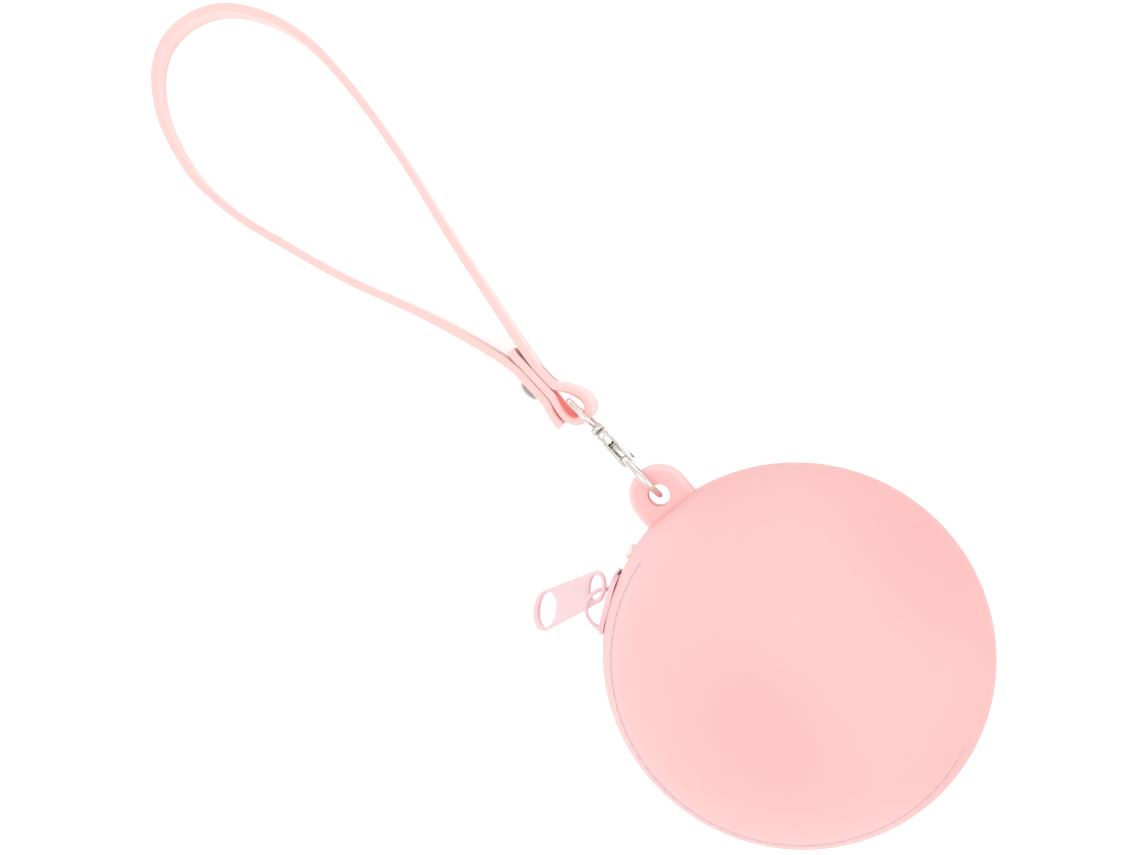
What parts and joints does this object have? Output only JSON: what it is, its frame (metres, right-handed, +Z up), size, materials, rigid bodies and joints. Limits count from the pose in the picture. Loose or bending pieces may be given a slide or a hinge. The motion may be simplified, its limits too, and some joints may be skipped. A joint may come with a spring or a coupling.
{
  "type": "zip-round coin purse",
  "caption": "Soft round silicone coin purse with a part-rim zipper, a hanging tab, a lobster clasp and a flat wrist strap.",
  "frame": {"origin": "on the resting surface, under the centre of the disc", "axes": "+Z up; +Y from the disc's centre through the hanging tab toward the strap; +X to the right seen from above"},
  "size_m": [0.0884, 0.2393, 0.0383],
  "materials": {
    "silicone": "soft matte",
    "silicone_strap": "soft matte",
    "tape": "woven",
    "coil": "satin",
    "stop": "satin",
    "thread": "twisted",
    "paint": "gloss",
    "nickel": "polished",
    "steel": "satin"
  },
  "bodies": {
    "purse": {"body_shell": "silicone", "fold_band": "silicone", "zipper_tape_lower": "tape", "zipper_coil_lower": "coil", "stop_closed_lower": "stop", "stop_open": "stop", "stitching_lower": "thread"},
    "flap": {"front_flap": "silicone", "zipper_tape_upper": "tape", "zipper_coil_upper": "coil", "stop_closed_upper": "stop", "stitching_upper": "thread"},
    "slider": {"slider_body": "paint"},
    "pull": {"slider_pull": "paint"},
    "hook": {"clasp_hook": "nickel", "clasp_lever_pin": "steel", "clasp_spring": "steel"},
    "lever": {"clasp_lever": "nickel"},
    "bail": {"clasp_bail": "nickel", "clasp_swivel_post": "steel"},
    "strap": {"strap": "silicone_strap", "rivet_cap": "nickel", "rivet_post": "nickel"}
  },
  "joints": [
    {"name": "flap_open", "type": "hinge", "parent": "purse", "child": "flap", "pos_m": [0.0025, 0.00091, 0.019], "axis": [-0.3412, 0.94, 0], "range_deg": [0, 35], "stiffness_Nm_per_rad": 0.02, "deforming": ["fold_band"]},
    {"name": "slider_travel", "type": "hinge", "parent": "purse", "child": "slider", "pos_m": [0, 0, 0.019], "axis": [0, 0, 1], "range_deg": [-3.7, 154.5]},
    {"name": "pull_swing", "type": "hinge", "parent": "slider", "child": "pull", "pos_m": [-0.02594, 0.03775, 0.019], "axis": [-0.8241, -0.5664, 0], "range_deg": [-2, 45]},
    {"name": "clasp_yaw", "type": "hinge", "parent": "purse", "child": "hook", "pos_m": [0, 0.0466, 0.019], "axis": [0, 0, 1], "range_deg": [-40, 40]},
    {"name": "lever_press", "type": "hinge", "parent": "hook", "child": "lever", "pos_m": [-0.00139, 0.05674, 0.01484], "axis": [-0.9878, -0.0812, 0.1331], "range_deg": [0, 20], "stiffness_Nm_per_rad": 0.002, "springref_deg": -8.59, "deforming": ["clasp_spring"]},
    {"name": "bail_swivel", "type": "hinge", "parent": "hook", "child": "bail", "pos_m": [-0.00235, 0.06558, 0.01315], "axis": [-0.1174, 0.9491, -0.2924], "continuous": true},
    {"name": "strap_swing", "type": "hinge", "parent": "bail", "child": "strap", "pos_m": [-0.00333, 0.07355, 0.0107], "axis": [0.1026, 0.3044, 0.947], "range_deg": [-35, 35]}
  ]
}
